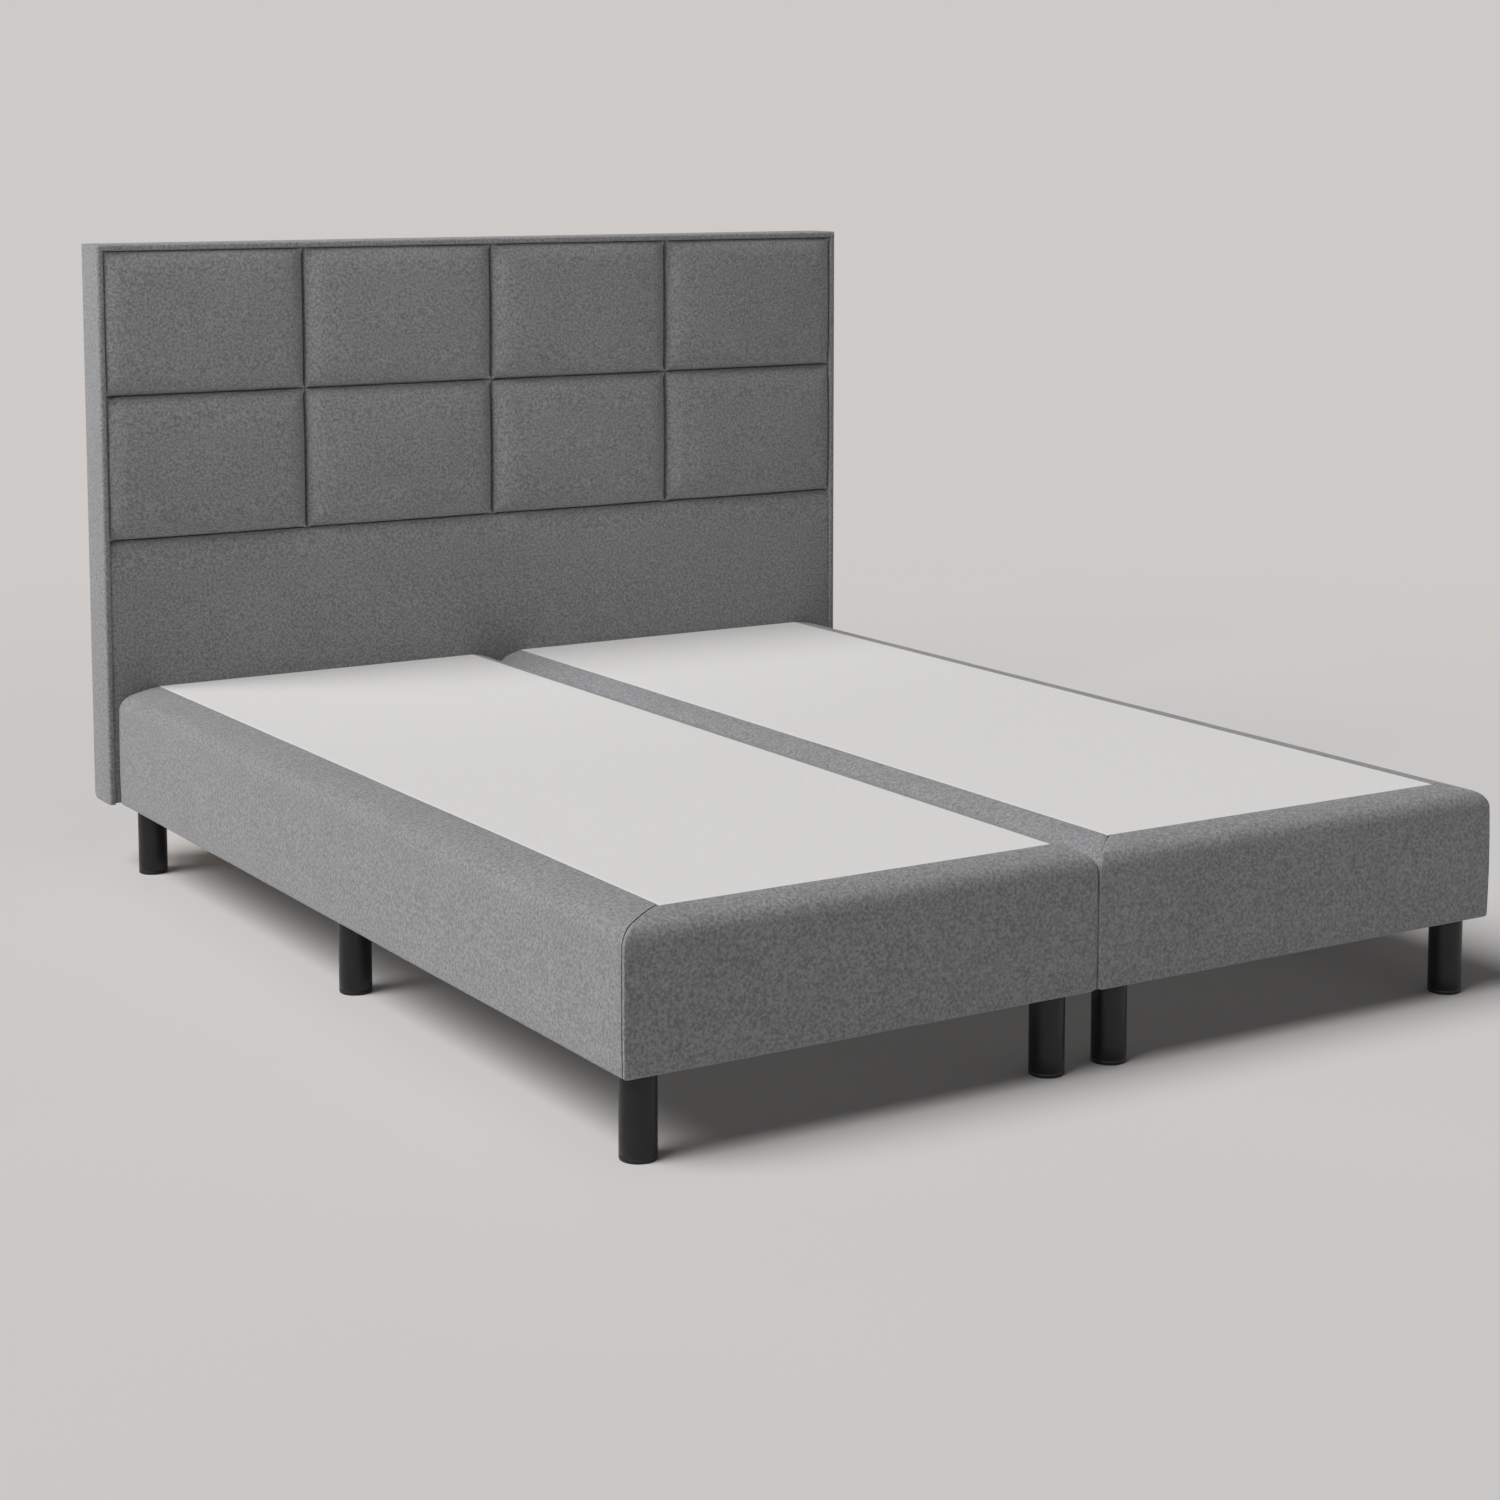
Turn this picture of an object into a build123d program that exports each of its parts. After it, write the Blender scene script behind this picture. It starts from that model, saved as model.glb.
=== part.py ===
from build123d import *
import os
from math import hypot

# A double box spring bed: two sprung bases side by side on round legs, with a quilted headboard.
# X runs to the right as seen from the foot end, +Y towards the headboard and +Z up.
# The origin lies on the floor, under the middle of the whole bed. All sizes are in millimetres.

# One base
base_width = 820.0
base_length = 2000.0
base_height = 225.0

# Upholstery of a base
padding = 10.0
wrap = 2.0
side_border_width = 84.0
foot_border_width = 48.0
inner_border_width = 55.0
side_roll = 40.0
inner_roll = 20.0

# Timber frame of a base
rail_thickness = 22.0
side_rail_height = 168.0
slat_count = 10
slat_width = 70.0
slat_thickness = 18.0
slat_end_gap = 46.5
block_size = 90.0
block_height = 40.0
dust_cover_thickness = 1.0

# Sprung deck
cover_thickness = 2.0
foam_thickness = 20.0
felt_thickness = 6.0
tie_wire = 4.0
long_wire = 3.0
deck_gap = 0.5
deck_travel = 30.0
travel_clearance = 5.0
spring_wire = 4.0
spring_radius = 33.0
spring_turns = 4
spring_columns = 3
spring_column_pitch = 220.0
spring_seat_gap = 0.2
wire_frame_corner = 20.0

# Legs
leg_height = 130.0
leg_radius = 27.5
leg_inset = 47.0
inner_leg_inset = 60.0
leg_chamfer = 1.5
glide_radius = 23.0
glide_thickness = 3.0
stud_in_leg = 45.0

# Fasteners
thread_radius = 4.0
thread_clearance = 0.05
bolt_clearance = 0.5
nut_barrel_radius = 5.0
nut_barrel_length = 12.0
nut_flange_radius = 11.0
nut_flange_thickness = 1.6
bolt_head_across = 13.0
bolt_head_height = 5.5
bolt_rise = 100.0
bolt_spread = 210.0

# Plates and screws that link the bases
link_length = 80.0
link_width = 30.0
link_thickness = 3.0
link_places = (-520.0, 430.0)
screw_radius = 2.5
screw_length = 25.0
screw_head_radius = 4.5
screw_head_height = 2.4

# Headboard
headboard_overhang = 20.0
headboard_top = 1215.0
headboard_depth = 90.0
edge_thickness = 12.0
edge_roll = 4.0
board_thickness = 16.0
front_padding = 34.0
back_thickness = 2.0
back_corner = 20.0
post_width = 70.0
frame_rail_height = 70.0
field_top = 643.0
field_roll = 10.0
pad_columns = 4
pad_roll = 11.0
pad_crown = 6.0

# Places worked out from the sizes
base_bottom = leg_height
deck_top = base_bottom + base_height
foot_y = -(base_length + headboard_depth) / 2
head_y = foot_y + base_length
back_y = head_y + headboard_depth
base_middle_y = (foot_y + head_y) / 2

rail_bottom = base_bottom + wrap
side_rail_top = rail_bottom + side_rail_height
inner_rail_x = padding + rail_thickness
outer_rail_x = base_width - padding - rail_thickness
foot_rail_y = foot_y + padding + rail_thickness
head_rail_y = head_y - padding - rail_thickness

block_bottom = base_bottom + dust_cover_thickness
block_top = block_bottom + block_height
slat_top = block_top + slat_thickness

deck_x = (inner_border_width + deck_gap, base_width - side_border_width - deck_gap)
deck_y = (foot_y + foot_border_width + deck_gap, head_y - deck_gap)
foam_top = deck_top - cover_thickness
felt_top = foam_top - foam_thickness
wire_top = felt_top - felt_thickness
wire_bottom = wire_top - tie_wire
head_rail_top = wire_bottom - deck_travel - travel_clearance
cavity_top = slat_top + spring_seat_gap

board_y = head_y + front_padding
frame_y = board_y + board_thickness
back_sheet_y = back_y - back_thickness
half_headboard = base_width + headboard_overhang
half_board = half_headboard - edge_thickness
board_bottom = base_bottom + wrap
board_top = headboard_top - edge_thickness
pad_height = (board_top - field_top) / 2
pad_width = 2 * half_board / pad_columns

leg_stations = {"foot": foot_y + leg_inset, "middle": base_middle_y, "head": head_y - leg_inset}
leg_lines = {"inner": inner_leg_inset, "outer": base_width - leg_inset}
sides = {"left": -1, "right": 1}


def block(x, y, z):
    """A box between two limits along each axis."""
    size = Box(x[1] - x[0], y[1] - y[0], z[1] - z[0])
    return Pos((x[0] + x[1]) / 2, (y[0] + y[1]) / 2, (z[0] + z[1]) / 2) * size


def upright(radius, x, y, z):
    """A round post along Z between two heights."""
    return Pos(x, y, (z[0] + z[1]) / 2) * Cylinder(radius, z[1] - z[0])


def along_y(radius, x, z, y):
    """A round bar along Y between two places."""
    return Pos(x, (y[0] + y[1]) / 2, z) * Rot(90, 0, 0) * Cylinder(radius, y[1] - y[0])


def solids_of(*shapes):
    """One group of separate solids from several shapes."""
    return Compound([solid for shape in shapes for solid in shape.solids()])


def save(name, *shapes):
    """Writes one node."""
    export_step(solids_of(*shapes), f"parts/{name}.step")


def on_side(shape, side):
    """The right-hand base's shape as it is, or mirrored for the left-hand base."""
    return shape if sides[side] > 0 else mirror(shape, about=Plane.YZ)


def top_edge(solid, axis, across, last):
    """The highest edge along one axis that lies first or last across the other."""
    row = solid.edges().filter_by(axis).group_by(Axis.Z)[-1].sort_by(across)
    return row[-1] if last else row[0]


# The pieces of the right-hand base

def base_envelope():
    """The outside of a base: its outer, inner and foot top edges are rolled, the head end is square."""
    whole = block((0, base_width), (foot_y, head_y), (base_bottom, deck_top))
    outer_edge = top_edge(whole, Axis.Y, Axis.X, True)
    inner_edge = top_edge(whole, Axis.Y, Axis.X, False)
    foot_edge = top_edge(whole, Axis.X, Axis.Y, False)
    rolled_across = fillet(outer_edge, side_roll) & fillet(inner_edge, inner_roll)
    return rolled_across & fillet(foot_edge, side_roll)


def side_rails():
    """The two long rails."""
    length = (foot_y + padding, head_y - padding)
    height = (rail_bottom, side_rail_top)
    inner = block((padding, inner_rail_x), length, height)
    outer = block((outer_rail_x, base_width - padding), length, height)
    return inner + outer


def end_rails():
    """The foot rail and the lower head rail, over which the deck sinks."""
    span = (inner_rail_x, outer_rail_x)
    foot = block(span, (foot_y + padding, foot_rail_y), (rail_bottom, side_rail_top))
    head = block(span, (head_rail_y, head_y - padding), (rail_bottom, head_rail_top))
    return foot + head


def bolt_places():
    """Where the headboard's bolts pass through the head rail."""
    return [base_width / 2 - bolt_spread, base_width / 2 + bolt_spread]


def bolt_holes(radius, start, end):
    """Holes along Y for the headboard's bolts."""
    return [along_y(radius, x, base_bottom + bolt_rise, (start, end)) for x in bolt_places()]


def screw_holes():
    """Holes up into the inner rails for the link plates' screws."""
    x = padding + rail_thickness / 2
    top = base_bottom + screw_length
    return [upright(screw_radius, x, y, (base_bottom - link_thickness, top)) for y in link_places]


def stud_holes(radius, bottom, top):
    """Holes along Z over each leg."""
    return [upright(radius, x, y, (bottom, top)) for x in leg_lines.values() for y in leg_stations.values()]


def borders():
    """The padded borders, cut from the envelope along their mitres and hollowed for the frame."""
    outer_foot = (base_width, foot_y)
    inner_foot = (0, foot_y)
    outer_white = (base_width - side_border_width, foot_y + foot_border_width)
    inner_white = (inner_border_width, foot_y + foot_border_width)
    outer_head = (base_width, head_y)
    inner_head = (0, head_y)
    outer_white_head = (base_width - side_border_width, head_y)
    inner_white_head = (inner_border_width, head_y)
    plans = {
        "side_border": (outer_foot, outer_head, outer_white_head, outer_white),
        "inner_border": (inner_foot, inner_white, inner_white_head, inner_head),
        "foot_border": (inner_foot, outer_foot, outer_white, inner_white),
    }
    envelope = base_envelope()
    cavity = block((inner_rail_x, outer_rail_x), (foot_rail_y, head_rail_y), (base_bottom, cavity_top))
    hollow = [side_rails(), end_rails(), cavity, *screw_holes()]
    made = {}
    for name, corners in plans.items():
        plan = make_face(Polyline(*corners, close=True))
        prism = Pos(0, 0, base_bottom) * extrude(plan, base_height, dir=(0, 0, 1))
        made[name] = (envelope & prism) - hollow
    return made


def head_padding():
    """The upholstery on the head rail's outer face, folded under it."""
    strip = block(
        (inner_border_width, base_width - side_border_width),
        (head_rail_y, head_y),
        (base_bottom, head_rail_top),
    )
    return strip - [side_rails(), end_rails(), *bolt_holes(thread_radius + bolt_clearance, head_rail_y, head_y)]


def cross_slats():
    """The slats under the rows of springs."""
    span = (inner_rail_x, outer_rail_x)
    return [block(span, (y - slat_width / 2, y + slat_width / 2), (block_top, slat_top)) for y in slat_places()]


def slat_places():
    """The middle of each slat along the base."""
    first = foot_rail_y + slat_end_gap + slat_width / 2
    last = head_rail_y - slat_end_gap - slat_width / 2
    return [first + (last - first) * number / (slat_count - 1) for number in range(slat_count)]


def leg_blocks():
    """A timber block over each leg, against the rail beside it and with the T-nut's hole."""
    x_limits = {
        "inner": (inner_rail_x, inner_rail_x + block_size),
        "outer": (outer_rail_x - block_size, outer_rail_x),
    }
    y_limits = {
        "foot": (foot_rail_y, foot_rail_y + block_size),
        "middle": (base_middle_y - block_size / 2, base_middle_y + block_size / 2),
        "head": (head_rail_y - block_size, head_rail_y),
    }
    holes = stud_holes(nut_barrel_radius, block_bottom, block_top)
    return [block(x, y, (block_bottom, block_top)) - holes for x in x_limits.values() for y in y_limits.values()]


def dust_cover():
    """The cloth under the frame, with a hole over each leg's stud."""
    sheet = block((inner_rail_x, outer_rail_x), (foot_rail_y, head_rail_y), (base_bottom, block_bottom))
    return sheet - stud_holes(thread_radius + bolt_clearance, base_bottom, block_bottom)


def deck_layer(bottom, top):
    """One full sheet of the sprung deck."""
    return block(deck_x, deck_y, (bottom, top))


def wire_frame():
    """The steel frame round the deck's edge and the long wires over each column of springs."""
    z = wire_bottom + tie_wire / 2
    width = deck_x[1] - deck_x[0] - 2 * tie_wire
    length = deck_y[1] - deck_y[0] - 2 * tie_wire
    middle = Pos((deck_x[0] + deck_x[1]) / 2, (deck_y[0] + deck_y[1]) / 2, z)
    loop = (middle * RectangleRounded(width, length, wire_frame_corner)).wires()[0]
    start = Plane(origin=loop @ 0, z_dir=loop % 0)
    ring = sweep(start * Circle(tie_wire / 2), path=loop)
    run = (deck_y[0] + tie_wire, deck_y[1] - tie_wire)
    return ring + [along_y(long_wire / 2, x, z, run) for x in spring_columns_x()]


def spring_columns_x():
    """The middle of each column of springs across the deck."""
    first = (deck_x[0] + deck_x[1] - spring_column_pitch * (spring_columns - 1)) / 2
    return [first + spring_column_pitch * number for number in range(spring_columns)]


def coil_spring():
    """One spring between a slat and the wires, made of half turns that each tilt up to the other side."""
    bottom = slat_top + spring_seat_gap + spring_wire / 2
    top = wire_bottom - spring_seat_gap - spring_wire / 2
    half_turns = 2 * spring_turns
    rise = (top - bottom) / half_turns
    pieces = []
    for number in range(half_turns):
        hand = 1 if number % 2 == 0 else -1
        start = bottom + rise * number
        section = Pos(hand * spring_radius, 0, start) * (Plane.XZ * Circle(spring_wire / 2))
        middle = Axis((0, 0, start + rise / 2), (hand * rise / 2, 0, spring_radius))
        pieces.append(revolve(section, axis=middle, revolution_arc=180))
    return Part() + pieces


def springs(side):
    """The rows of springs on one base's slats."""
    coil = coil_spring()
    return [Pos(sides[side] * x, y, 0) * coil for x in spring_columns_x() for y in slat_places()]


def leg(x, y):
    """A round leg with a chamfered foot, a recess for its glide and a hole for its stud."""
    post = upright(leg_radius, x, y, (0, leg_height))
    post = chamfer(post.edges().group_by(Axis.Z)[0], leg_chamfer)
    recess = upright(glide_radius, x, y, (0, glide_thickness))
    hole = upright(thread_radius + thread_clearance, x, y, (leg_height - stud_in_leg, leg_height))
    return post - [recess, hole]


def t_nut():
    """A T-nut with its flange on the plane Z = 0 and its barrel below."""
    flange = upright(nut_flange_radius, 0, 0, (0, nut_flange_thickness))
    barrel = upright(nut_barrel_radius, 0, 0, (-nut_barrel_length, 0))
    bore = upright(thread_radius + thread_clearance, 0, 0, (-nut_barrel_length, nut_flange_thickness))
    return flange + barrel - bore


def headboard_bolt():
    """A hexagon bolt along Y, with the underside of its head on the plane Y = 0."""
    reach = frame_y + nut_flange_thickness - head_rail_y
    shank = along_y(thread_radius, 0, 0, (0, reach))
    hexagon = RegularPolygon(bolt_head_across / 2, 6, major_radius=False)
    return shank + Rot(90, 0, 0) * extrude(hexagon, bolt_head_height)


def link_plate(y):
    """A plate across the joint between the bases, drilled for its two screws."""
    x = (-link_length / 2, link_length / 2)
    z = (base_bottom - link_thickness, base_bottom)
    holes = [on_side(hole, side) for side in sides for hole in screw_holes()]
    return block(x, (y - link_width / 2, y + link_width / 2), z) - holes


def link_screw(y):
    """A pan-head screw up through a link plate into the inner rail."""
    x = padding + rail_thickness / 2
    seat = base_bottom - link_thickness
    shank = upright(screw_radius, x, y, (seat, base_bottom + screw_length))
    return shank + upright(screw_head_radius, x, y, (seat - screw_head_height, seat))


# The headboard

def quilt_pad():
    """One quilted pad round the origin's X and Z: its face is crowned and the four edges roll back."""
    half_across = hypot(pad_width, pad_height) / 2
    crown_radius = (half_across**2 + pad_crown**2) / (2 * pad_crown)
    slab = block((-pad_width / 2, pad_width / 2), (head_y, board_y), (-pad_height / 2, pad_height / 2))
    crowned = slab & (Pos(0, head_y + crown_radius, 0) * Sphere(crown_radius))
    face = crowned.faces().sort_by(Axis.Y)[0]
    return fillet(face.edges(), pad_roll)


def quilt_pads():
    """The quilted pads, in rows above the plain field."""
    pad = quilt_pad()
    rows = {"lower": field_top, "upper": field_top + pad_height}
    made = {}
    for row, bottom in rows.items():
        for column in range(pad_columns):
            x = pad_width * (column + (1 - pad_columns) / 2)
            made[f"quilt_pad_{row}_{column + 1}"] = Pos(x, 0, bottom + pad_height / 2) * pad
    return made


def headboard_field():
    """The plain field below the pads, whose top edge rolls back into the seam."""
    slab = block((-half_headboard, half_headboard), (head_y, board_y), (base_bottom, field_top))
    slab = fillet(top_edge(slab, Axis.X, Axis.Y, False), field_roll)
    holes = bolt_holes(thread_radius + bolt_clearance, head_y, board_y)
    return slab - [on_side(hole, side) for side in sides for hole in holes]


def headboard_board():
    """The panel that carries the padding, drilled for the T-nuts."""
    panel = block((-half_board, half_board), (board_y, frame_y), (board_bottom, board_top))
    holes = bolt_holes(thread_radius + bolt_clearance, board_y, frame_y)
    seats = bolt_holes(nut_barrel_radius, frame_y - nut_barrel_length, frame_y)
    return panel - [on_side(hole, side) for side in sides for hole in holes + seats]


def headboard_frame():
    """Three posts and the rails between them, with the bottom rails' back corner rounded."""
    y = (frame_y, back_sheet_y)
    clear_of_edges = half_board
    posts_x = [
        (-clear_of_edges, -clear_of_edges + post_width),
        (-post_width / 2, post_width / 2),
        (clear_of_edges - post_width, clear_of_edges),
    ]
    posts_bottom = board_bottom + frame_rail_height
    bottom_rail = block((-clear_of_edges, clear_of_edges), y, (board_bottom, posts_bottom))
    lowest_back = bottom_rail.edges().filter_by(Axis.X).group_by(Axis.Z)[0].sort_by(Axis.Y)[-1]
    pieces = [fillet(lowest_back, back_corner - back_thickness)]
    for x in posts_x:
        pieces.append(block(x, y, (posts_bottom, board_top)))
    for near, far in zip(posts_x, posts_x[1:]):
        for top in (board_top, field_top + frame_rail_height):
            pieces.append(block((near[1], far[0]), y, (top - frame_rail_height, top)))
    return pieces


def headboard_back():
    """The sheet over the back, above the rounded corner."""
    return block((-half_board, half_board), (back_sheet_y, back_y), (base_bottom + back_corner, board_top))


def headboard_edge():
    """The right-hand padded edge: a narrow border beside the pads, and behind the field lower down."""
    x = (half_board, half_headboard)
    upper = block(x, (head_y, back_y), (field_top, board_top))
    front_edges = upper.edges().filter_by(Axis.Z).group_by(Axis.Y)[0]
    upper = fillet(front_edges, edge_roll)
    lower = block(x, (board_y, back_y), (base_bottom, field_top))
    lowest_back = lower.edges().filter_by(Axis.X).group_by(Axis.Z)[0].sort_by(Axis.Y)[-1]
    return upper + fillet(lowest_back, back_corner)


def headboard_top_edge():
    """The padded edge along the top."""
    bar = block((-half_headboard, half_headboard), (head_y, back_y), (board_top, headboard_top))
    return fillet(bar.edges().filter_by(Axis.X).group_by(Axis.Y)[0], edge_roll)


os.makedirs("parts", exist_ok=True)

covers = borders()
for side in sides:
    save(f"side_rails_{side}", on_side(side_rails() - screw_holes(), side))
    rails = end_rails() - bolt_holes(thread_radius + bolt_clearance, head_rail_y, head_y)
    save(f"end_rails_{side}", on_side(rails, side))
    save(f"cross_slats_{side}", *[on_side(slat, side) for slat in cross_slats()])
    save(f"springs_{side}", *springs(side))
    save(f"spring_wire_{side}", on_side(wire_frame(), side))
    save(f"deck_felt_{side}", on_side(deck_layer(wire_top, felt_top), side))
    save(f"deck_foam_{side}", on_side(deck_layer(felt_top, foam_top), side))
    save(f"deck_cover_{side}", on_side(deck_layer(foam_top, deck_top), side))
    save(f"head_padding_{side}", on_side(head_padding(), side))
    save(f"dust_cover_{side}", on_side(dust_cover(), side))
    for name, cover in covers.items():
        save(f"{name}_{side}", on_side(cover, side))

blocks = []
glides = []
studs = []
nuts = []
bolts = []
nut = t_nut()
bolt = headboard_bolt()
for side, sign in sides.items():
    blocks += [on_side(piece, side) for piece in leg_blocks()]
    for line, x in leg_lines.items():
        for station, y in leg_stations.items():
            save(f"leg_{side}_{line}_{station}", leg(sign * x, y))
            glides.append(upright(glide_radius, sign * x, y, (0, glide_thickness)))
            stud_span = (leg_height - stud_in_leg, block_top + nut_flange_thickness)
            studs.append(upright(thread_radius, sign * x, y, stud_span))
            nuts.append(Pos(sign * x, y, block_top) * nut)
    for x in bolt_places():
        nuts.append(Pos(sign * x, frame_y, base_bottom + bolt_rise) * Rot(-90, 0, 0) * nut)
        bolts.append(Pos(sign * x, head_rail_y, base_bottom + bolt_rise) * bolt)

save("leg_blocks", *blocks)
save("leg_glides", *glides)
save("leg_studs", *studs)
save("t_nuts", *nuts)
save("headboard_bolts", *bolts)
save("link_plates", *[link_plate(y) for y in link_places])
save("link_screws", *[on_side(link_screw(y), side) for side in sides for y in link_places])

save("headboard_board", headboard_board())
save("headboard_frame", *headboard_frame())
save("headboard_back", headboard_back())
save("headboard_field", headboard_field())
save("headboard_edge_top", headboard_top_edge())
for side in sides:
    save(f"headboard_edge_{side}", on_side(headboard_edge(), side))
for name, pad in quilt_pads().items():
    save(name, pad)

coil_height = wire_bottom - slat_top - 2 * spring_seat_gap - spring_wire
print("gap between a spring's turns", round(coil_height / spring_turns - spring_wire, 2))
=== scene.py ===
import json
from math import cos, pi, sin, sqrt

import bmesh
import bpy
import numpy as np
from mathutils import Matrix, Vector, noise


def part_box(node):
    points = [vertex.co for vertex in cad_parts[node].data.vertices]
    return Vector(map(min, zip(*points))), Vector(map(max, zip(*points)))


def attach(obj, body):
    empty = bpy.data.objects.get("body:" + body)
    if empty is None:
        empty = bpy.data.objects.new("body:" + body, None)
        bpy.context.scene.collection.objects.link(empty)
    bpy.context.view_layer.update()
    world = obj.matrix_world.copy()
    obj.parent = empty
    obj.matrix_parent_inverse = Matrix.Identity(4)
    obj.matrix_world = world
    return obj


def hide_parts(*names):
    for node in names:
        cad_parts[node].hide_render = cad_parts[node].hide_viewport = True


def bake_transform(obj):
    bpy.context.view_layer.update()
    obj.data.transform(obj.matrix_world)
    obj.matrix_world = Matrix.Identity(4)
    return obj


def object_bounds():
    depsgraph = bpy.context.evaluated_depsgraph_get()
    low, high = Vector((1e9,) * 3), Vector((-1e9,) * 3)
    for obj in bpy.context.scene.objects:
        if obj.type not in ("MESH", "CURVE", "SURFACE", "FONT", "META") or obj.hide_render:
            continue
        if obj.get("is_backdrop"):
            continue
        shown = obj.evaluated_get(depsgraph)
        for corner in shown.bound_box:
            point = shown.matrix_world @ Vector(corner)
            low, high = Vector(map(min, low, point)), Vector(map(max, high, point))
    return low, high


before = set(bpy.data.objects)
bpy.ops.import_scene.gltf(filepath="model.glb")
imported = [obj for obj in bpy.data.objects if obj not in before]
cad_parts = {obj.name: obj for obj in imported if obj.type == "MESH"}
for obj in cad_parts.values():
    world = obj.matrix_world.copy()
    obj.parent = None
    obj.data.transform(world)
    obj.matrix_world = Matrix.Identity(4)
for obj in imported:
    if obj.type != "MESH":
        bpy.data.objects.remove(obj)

# %% [markdown]
# A box spring bed: two sprung bases side by side on black legs, and a quilted headboard behind them. The
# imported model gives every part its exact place. This script dresses it: timber, steel and plastic keep
# their solids and get a finish, and whatever is cloth or padding is modelled again as a soft form. The
# frame's own box is kept now, so that the dressed bed can be compared with it at the end.

# %% Places taken from the frame
cad_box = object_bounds()
border_low, border_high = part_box("side_border_right")
foot_y, head_y, outer_x = border_low.y, border_high.y, border_high.x
base_bottom, deck_top = border_low.z, border_high.z
board_low, board_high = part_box("headboard_board")
board_y, half_board = board_low.y, board_high.x
half_headboard, back_y, headboard_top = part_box("headboard_edge_top")[1]
field_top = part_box("headboard_field")[1].z
deck_low, deck_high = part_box("deck_cover_right")
sides = {"left": -1, "right": 1}
# What is left between two pieces, in metres: a hair where they touch, a gap where they are butted.
hair, gap = 0.0002, 0.0003
print("deck", [round(v, 4) for v in (*deck_low, *deck_high)])

# %% [markdown]
# The view comes first. The photograph shows the bed from the left of its foot end, from about a metre and a
# half up, with a long lens. Its upright lines stay nearly upright, so the lens is shifted down instead of
# tilted far. These numbers come from lining up corners of the built bed with the same corners in the
# photograph.

# %% Camera
turn, dip = 0.5545, 0.1099  # Radians, to the right and down.
eye = bpy.data.objects.new("camera", bpy.data.cameras.new("camera"))
bpy.context.scene.collection.objects.link(eye)
eye.location = (-2.7178, -4.4341, 1.4005)
eye.rotation_euler = (pi / 2 - dip, 0, -turn)
eye.data.lens, eye.data.shift_y = 70.2, -0.187
bpy.context.scene.camera = eye
print("camera at", tuple(round(v, 2) for v in eye.location))

# %% [markdown]
# Shader maths reads best as arithmetic. An Amount wraps one output of a node, and + - * between amounts add
# Math nodes, also with a plain number on the left, as in 1 - mask. A Tree is the nodes of a material or of
# the world: its method node adds any node from its type, its settings and the values or links of its
# sockets. A Finish is the tree of one material under way.

# %% Amounts and finishes
class Amount:
    """One output socket. Arithmetic on it adds Math nodes to its tree."""

    def __init__(self, owner, socket):
        self.owner, self.socket = owner, socket

    def maths(self, operation, *values):
        return self.owner.node("ShaderNodeMath", {"operation": operation}, dict(enumerate(values)))

    def __add__(self, other):
        return self.maths("ADD", self, other)

    def __sub__(self, other):
        return self.maths("SUBTRACT", self, other)

    def __rsub__(self, other):
        return self.maths("SUBTRACT", other, self)

    def __mul__(self, other):
        return self.maths("MULTIPLY", self, other)

    def __abs__(self):
        return self.maths("ABSOLUTE", self)

    __radd__, __rmul__ = __add__, __mul__

    def least(self, other):
        return self.maths("MINIMUM", self, other)

    def spread(self, start, end, low=0.0, high=1.0):
        """Stretches start..end to low..high and holds it there."""
        return self.owner.node("ShaderNodeMapRange", {}, {0: self, 1: start, 2: end, 3: low, 4: high})


class Tree:
    """The nodes and links of a material or of the world."""

    def __init__(self, tree):
        self.tree = tree

    def node(self, kind, settings, values, output=0):
        made = self.tree.nodes.new(kind)
        for name, value in settings.items():
            setattr(made, name, value)
        for socket, value in values.items():
            self.plug(made.inputs[socket], value)
        return Amount(self, made.outputs[output])

    def plug(self, socket, value):
        if isinstance(value, Amount):
            self.tree.links.new(value.socket, socket)
        else:
            socket.default_value = value

    def seen(self):
        """1 where a ray comes from the camera, also by way of a mirror or glass, and 0 elsewhere."""
        kinds = ("Camera", "Glossy", "Transmission")
        rays = [self.node("ShaderNodeLightPath", {}, {}, f"Is {kind} Ray") for kind in kinds]
        return (rays[0] + rays[1] + rays[2]).least(1.0)


class Finish(Tree):
    """A material on one Principled shader, whose constants are set by name."""

    def __init__(self, name, **constants):
        self.material = bpy.data.materials.new(name)
        self.material.use_nodes = True
        super().__init__(self.material.node_tree)
        self.shader = self.tree.nodes["Principled BSDF"]
        for socket, value in constants.items():
            self.shader.inputs[socket.replace("_", " ")].default_value = value

    def place(self, stretch=(1, 1, 1)):
        """Where a point of the surface is, in metres, with the axes stretched."""
        at = self.node("ShaderNodeTexCoord", {}, {}, "Object")
        return self.node("ShaderNodeVectorMath", {"operation": "MULTIPLY"}, {0: at, 1: stretch})

    def noise(self, place, scale, detail=2.0, roughness=0.5, distortion=0.0):
        values = {"Vector": place, "Scale": scale, "Detail": detail, "Roughness": roughness}
        return self.node("ShaderNodeTexNoise", {}, {**values, "Distortion": distortion})

    def mixed(self, factor, first, second):
        values = {0: factor, 6: first, 7: second}
        return self.node("ShaderNodeMix", {"data_type": "RGBA"}, values, 2)

    def feed(self, socket, value):
        self.plug(self.shader.inputs[socket], value)
        return self

    def bump(self, height, depth, strength=1.0):
        values = {"Height": height, "Distance": depth, "Strength": strength}
        return self.feed("Normal", self.node("ShaderNodeBump", {}, values))


def tone(red, green=None, blue=None, share=1.0):
    """A colour for a socket, with its brightness multiplied by a share."""
    green, blue = (red if green is None else green), (red if blue is None else blue)
    return (red * share, green * share, blue * share, 1)


print("amounts, trees and finishes are ready")

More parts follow.
